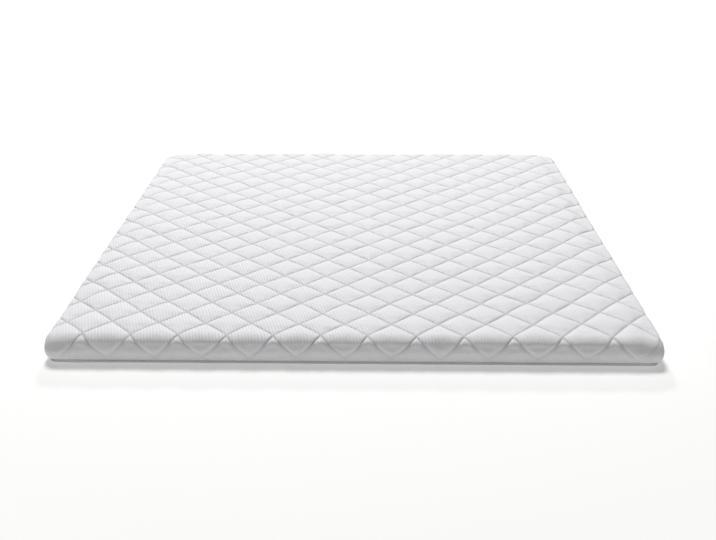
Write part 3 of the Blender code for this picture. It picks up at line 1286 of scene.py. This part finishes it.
@dataclass
class QuiltStitches:
    """Machine stitches of the sewn lines, each a short drop-shaped bead of thread in its channel."""

    relief: FillingRelief
    pressure: FillingPressure
    finish: ThreadFinish
    pitch: float = 0.0046
    length: float = 0.0036
    radius: float = 0.00045
    ring_place: float = 0.28
    lift: float = 0.0002
    seam_margin: float = 0.006
    probe: float = 0.004

    def bead(self) -> tuple[Array, Array, Array]:
        """One stitch along its own axes: two tips and two rings of three points.

        Returns:
            Points as along, beside and up, then triangles, then quads.
        """
        angles = np.radians([90, 210, 330])
        ring = np.stack([np.zeros(3), np.cos(angles), np.sin(angles)], -1) * self.radius
        shift = np.array([self.length * self.ring_place, 0, 0])
        tips = np.array([[-self.length / 2, 0, -self.radius], [self.length / 2, 0, -self.radius]])
        points = np.concatenate([ring - shift, ring + shift, tips])
        triangles = np.array([[6, 1, 0], [6, 2, 1], [6, 0, 2], [7, 3, 4], [7, 4, 5], [7, 5, 3]])
        quads = np.array([[0, 1, 4, 3], [1, 2, 5, 4], [2, 0, 3, 5]])
        return points, triangles, quads

    def lines(self, family: Diagonal) -> tuple[Array, Array]:
        """Lattice numbers of all stitches of one family that lie on the cover.

        Args:
            family: Which of the two families.

        Returns:
            The numbers u and v of the stitches' middles.
        """
        section, pattern = self.relief.section, self.relief.pattern
        low_u, high_u, low_v, high_v = self.relief.span
        step = self.pitch / pattern.field_side
        if family is Diagonal.RISING:
            v, u = np.meshgrid(np.arange(low_v, high_v + 1), np.arange(low_u, high_u, step))
        else:
            u, v = np.meshgrid(np.arange(low_u, high_u + 1), np.arange(low_v, high_v, step))
        u, v = u.ravel().astype(float), v.ravel().astype(float)
        distance = section.leave_core(*pattern.to_cloth(u, v))[4]
        on_cover = distance < section.cloth_reach - self.seam_margin
        return u[on_cover], v[on_cover]

    def on_line(self, u: Array, v: Array) -> Array:
        """Places in space of points on a sewn line, at the bottom of its channel.

        Args:
            u: First lattice numbers.
            v: Second lattice numbers.

        Returns:
            The places, with a last axis of three.
        """
        x, y = self.relief.pattern.to_cloth(u, v)
        raised = self.lift + self.pressure.start_share * self.relief.height(u, v, x, y)
        return self.relief.section.fold(x, y, raised)

    def build(self, family: Diagonal) -> bpy.types.Object:
        """Build and dress the stitches of one family of lines.

        Each bead's points are its middle plus its own along, beside and up times the line's
        tangent, its cross product with the cloth's normal, and that normal.

        Args:
            family: Which of the two families.

        Returns:
            The finished piece.
        """
        u, v = self.lines(family)
        nudge = self.probe / self.relief.pattern.field_side
        step_u, step_v = (nudge, 0.0) if family is Diagonal.RISING else (0.0, nudge)
        middle = self.on_line(u, v)
        tangent = self.on_line(u + step_u, v + step_v) - self.on_line(u - step_u, v - step_v)
        tangent /= np.linalg.norm(tangent, axis=1, keepdims=True)
        normal = self.relief.section.normal(*self.relief.pattern.to_cloth(u, v))
        beside = np.cross(normal, tangent)
        beside /= np.linalg.norm(beside, axis=1, keepdims=True)
        axes = np.stack([tangent, beside, np.cross(tangent, beside)], 1)
        bead, triangles, quads = self.bead()
        points = middle[:, None, :] + np.einsum("pk,nkc->npc", bead, axes)
        shift = (np.arange(len(u)) * len(bead))[:, None, None]
        faces = [(triangles + shift).reshape(-1, 3), (quads + shift).reshape(-1, 4)]
        piece = make_piece(f"quilt_stitches_{family.value}", points.reshape(-1, 3), faces)
        piece.data.materials.append(self.finish.build(f"thread_{family.value}"))
        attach(piece, "root")
        log.info("%s stitches: %d", family.value, len(u))
        return piece


@dataclass
class BasePanel:
    """The plain panel under the filling: a sheet turned up at its edge to meet the quilted cover."""

    section: RimSection
    finish: WeaveFinish
    turn_up: float = 0.016
    thickness: float = 0.0025
    turn_steps: int = 10
    lip: float = 0.0012
    lip_fall: float = 0.1
    inner_sag: float = 0.0004
    fullness: float = 0.38
    corner_columns: int = 18
    side_columns: int = 160
    ripple: float = 0.0007
    ripple_length: float = 0.11
    seed: int = 71

    def columns(self) -> tuple[Array, Array, Array]:
        """Columns round the seam's outline: quarter arcs joined by straight sides.

        Returns:
            Centre of each column in plan, its outward direction, and the seam's radius there.
        """
        core_x, core_y = self.section.core
        corners = []
        for sign_x, sign_y in ((1, 1), (-1, 1), (-1, -1), (1, -1)):
            soft = float(self.section.softness(np.float64(sign_x), np.float64(sign_y)))
            centre = np.array([sign_x * (core_x - soft), sign_y * (core_y - soft)])
            corners.append((centre, self.section.corner_radius + soft))
        turned = np.arange(self.corner_columns)[:, None] / self.corner_columns
        share = np.arange(self.side_columns)[:, None] / self.side_columns
        centres, angles, radii = [], [], []
        for quarter, (centre, radius) in enumerate(corners):
            target, target_radius = corners[(quarter + 1) % 4]
            angles += [quarter + turned, np.full(share.shape, quarter + 1)]
            centres += [centre + 0 * turned, centre + (target - centre) * share]
            radii += [radius + 0 * turned, radius + (target_radius - radius) * share]
        angle = np.concatenate(angles) * math.pi / 2
        outward = np.concatenate([np.cos(angle), np.sin(angle)], 1)
        return np.concatenate(centres), outward, np.concatenate(radii)[:, 0]

    def profile(self) -> tuple[Array, Array, Array]:
        """Section of the panel's edge, from its flat underside round to its flat inside.

        The outer face is a full quarter oval from the floor up to the seam, its sine and cosine
        raised to a low power, with a small lip turned in under the cover. The inner face runs
        straight back down to the panel's thickness.

        Returns:
            Inset from the seam, height, and length of cloth from the start of the turn.
        """
        high = self.section.seam_height
        angle = np.arange(self.turn_steps + 1) * math.pi / 2 / self.turn_steps
        inset = self.turn_up * (1 - np.abs(np.sin(angle)) ** self.fullness)
        height = (high - self.lip) * (1 - np.abs(np.cos(angle)) ** self.fullness)
        inset = np.concatenate([inset, [self.lip, self.turn_up / 2, self.turn_up]])
        inner = high + (self.thickness - high) / 2 - self.inner_sag
        height = np.concatenate([height, [high - self.lip * self.lip_fall, inner, self.thickness]])
        steps = np.hypot(np.diff(inset), np.diff(height))
        return inset, height, np.concatenate([[0.0], np.cumsum(steps)])

    def build(self) -> bpy.types.Object:
        """Returns:
            The finished piece.
        """
        centres, outward, radii = self.columns()
        inset, height, run = self.profile()
        seam = radii - self.section.seam_draw_in
        edge = centres + outward * seam[:, None]
        ripple = self.ripple * swell(edge[:, 0], edge[:, 1], self.ripple_length, self.seed)
        free = np.sin(np.clip(inset / self.turn_up, 0, 1) * math.pi)
        reach = seam[None, :] - inset[:, None] + ripple[None, :] * free[:, None]
        plan = centres[None] + outward[None] * reach[..., None]
        rows = np.concatenate([plan, np.broadcast_to(height[:, None, None], (*reach.shape, 1))], -1)
        number = np.arange(reach.size).reshape(reach.shape)
        faces = [grid_quads(number, closed=True), number[0][None, ::-1], number[-1][None, :]]
        piece = make_piece("base_cloth", rows.reshape(-1, 3), faces)
        cloth = centres[None] + outward[None] * (seam[None, :, None] - self.turn_up + run[:, None, None])
        add_uv(piece, cloth.reshape(-1, 2))
        piece.data.materials.append(self.finish.build("base_cloth_finish"))
        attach(piece, "root")
        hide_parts("base_panel")
        return piece


@dataclass(frozen=True)
class SoftLight:
    """An area light that looks at the middle of the floor."""

    name: str
    shape: str
    size: tuple[float, float]
    energy: float
    place: tuple[float, float, float]

    def build(self) -> None:
        """Hang the light."""
        light = bpy.data.lights.new(self.name, "AREA")
        light.shape = self.shape
        light.size, light.size_y = self.size
        light.energy = self.energy
        lamp = bpy.data.objects.new(self.name, light)
        lamp.location = self.place
        lamp.rotation_euler = (-Vector(self.place)).to_track_quat("-Z", "Y").to_euler()
        bpy.context.scene.collection.objects.link(lamp)


@dataclass
class Studio:
    """Plain pale floor, soft light from above and behind, and the camera."""

    focal_length: float = 46.80
    sensor: float = 36.0
    eye: tuple[float, float, float] = (0.0396, -3.6285, 1.5172)
    pitch: float = math.radians(24.114)
    yaw: float = math.radians(0.561)
    roll: float = math.radians(0.109)
    floor_reach: float = 60.0
    floor_colour: tuple[float, float, float] = (0.64, 0.64, 0.63)
    floor_roughness: float = 0.9
    floor_glow: tuple[float, float] = (0.36, 1.0)
    floor_glow_reach: tuple[float, float] = (1.8, 4.5)
    horizon_light: tuple[float, float] = (1.0, 0.04)
    horizon_height: float = 0.12
    overhead: SoftLight = SoftLight("overhead", "DISK", (4.4, 4.4), 1190, (-1.1, 2.6, 11.0))
    back_panel: SoftLight = SoftLight("back_panel", "RECTANGLE", (1.6, 1.3), 400, (-0.7, 9.0, 6.6))

    def place_camera(self) -> None:
        """Stand the camera at the photograph's angle."""
        camera = bpy.data.objects.new("camera", bpy.data.cameras.new("camera"))
        camera.data.sensor_width = self.sensor
        camera.data.lens = self.focal_length
        camera.data.clip_end = 4 * self.floor_reach
        level = Vector((math.cos(self.yaw), math.sin(self.yaw), 0.0))
        ahead, down = math.cos(self.pitch), math.sin(self.pitch)
        forward = Vector((-math.sin(self.yaw) * ahead, math.cos(self.yaw) * ahead, -down))
        upward = level.cross(forward)
        right = level * math.cos(self.roll) + upward * math.sin(self.roll)
        up = upward * math.cos(self.roll) - level * math.sin(self.roll)
        turned = Matrix((right, up, -forward)).transposed().to_4x4()
        camera.matrix_world = Matrix.Translation(self.eye) @ turned
        bpy.context.scene.collection.objects.link(camera)
        bpy.context.scene.camera = camera

    def lay_floor(self) -> None:
        """Lay the floor, a large level square that glows more the further out it is."""
        signs = np.array([[-1, -1, 0], [1, -1, 0], [1, 1, 0], [-1, 1, 0]])
        floor = make_piece("floor", signs * self.floor_reach, [np.array([[0, 1, 2, 3]])], smooth=False)
        sheet = NodeSheet(bpy.data.materials.new("floor_finish"))
        distance = sheet.add("ShaderNodeVectorMath", {0: sheet.own_place()}, operation="LENGTH")["Value"]
        glow = sheet.climb(distance, *self.floor_glow_reach, self.floor_glow, "SMOOTHSTEP")
        finish = sheet.dress(
            {
                "Base Color": (*self.floor_colour, 1.0),
                "Roughness": self.floor_roughness,
                "Specular IOR Level": 0.0,
                "Emission Color": (1.0, 1.0, 1.0, 1.0),
                "Emission Strength": glow,
            }
        )
        floor.data.materials.append(finish)

    def light_world(self) -> None:
        """Even light all round, brightest at the horizon: a ramp of the direction's height.

        Where it is seen itself, it is a plain white backdrop.
        """
        sheet = NodeSheet(bpy.data.worlds.new("studio"))
        height = sheet.parts(sheet.add("ShaderNodeTexCoord", {})["Generated"])[2]
        glow = sheet.climb(height, 0.0, self.horizon_height, self.horizon_light, "SMOOTHSTEP")
        seen = sheet.add("ShaderNodeLightPath", {})["Is Camera Ray"]
        bpy.context.scene.world = sheet.dress({"Color": sheet.math("MAXIMUM", seen, glow)})

    def build(self) -> None:
        """Set up the whole studio."""
        self.place_camera()
        self.lay_floor()
        self.overhead.build()
        self.back_panel.build()
        self.light_world()
        bpy.context.scene.view_settings.view_transform = "Standard"
        log.info("studio ready")


def main() -> None:
    """Build the topper's pieces in order, then the studio."""
    logging.basicConfig(level=logging.INFO, format="%(name)s: %(message)s")
    relief = FillingRelief(SewnPattern(), RimSection())
    pressure = FillingPressure()
    QuiltedCover(relief, pressure, KnitFinish()).build()
    stitches = QuiltStitches(relief, pressure, ThreadFinish())
    for family in Diagonal:
        stitches.build(family)
    BasePanel(relief.section, WeaveFinish()).build()
    Studio().build()


if __name__ == "__main__":
    main()
